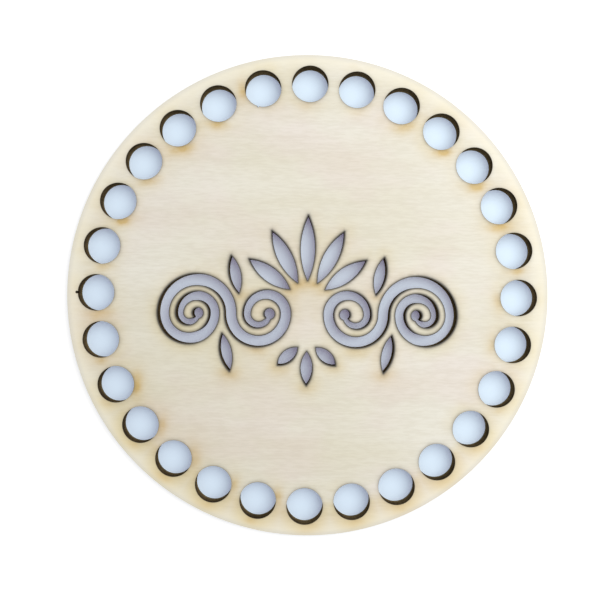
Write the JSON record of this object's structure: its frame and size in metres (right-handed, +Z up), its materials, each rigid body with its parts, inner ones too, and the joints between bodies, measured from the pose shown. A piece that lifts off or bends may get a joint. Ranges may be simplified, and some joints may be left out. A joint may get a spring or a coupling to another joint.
{
  "type": "drink coaster",
  "caption": "Round flat plywood drink coaster with a ring of yarn holes round its edge and a mirrored ornament of scrolls and leaves cut through its middle.",
  "frame": {"origin": "centre of the disc on its underside, the face that lies on the table", "axes": "+Z up out of the face that the cup stands on, +X along the face grain, +Y towards the crown of the ornament"},
  "size_m": [0.1, 0.1, 0.003],
  "materials": {
    "birch_face": "sanded, unfinished birch, grain from left to right, toasted along the cuts",
    "birch_core": "unfinished birch across the face grain, edges charred by the cut",
    "birch_back": "sanded, unfinished birch with smoke marks along the cuts",
    "glue_line": "cured dark brown glue"
  },
  "bodies": {
    "root": {"face_veneer": "birch_face", "upper_glue_line": "glue_line", "core_veneer": "birch_core", "lower_glue_line": "glue_line", "back_veneer": "birch_back"}
  },
  "joints": []
}
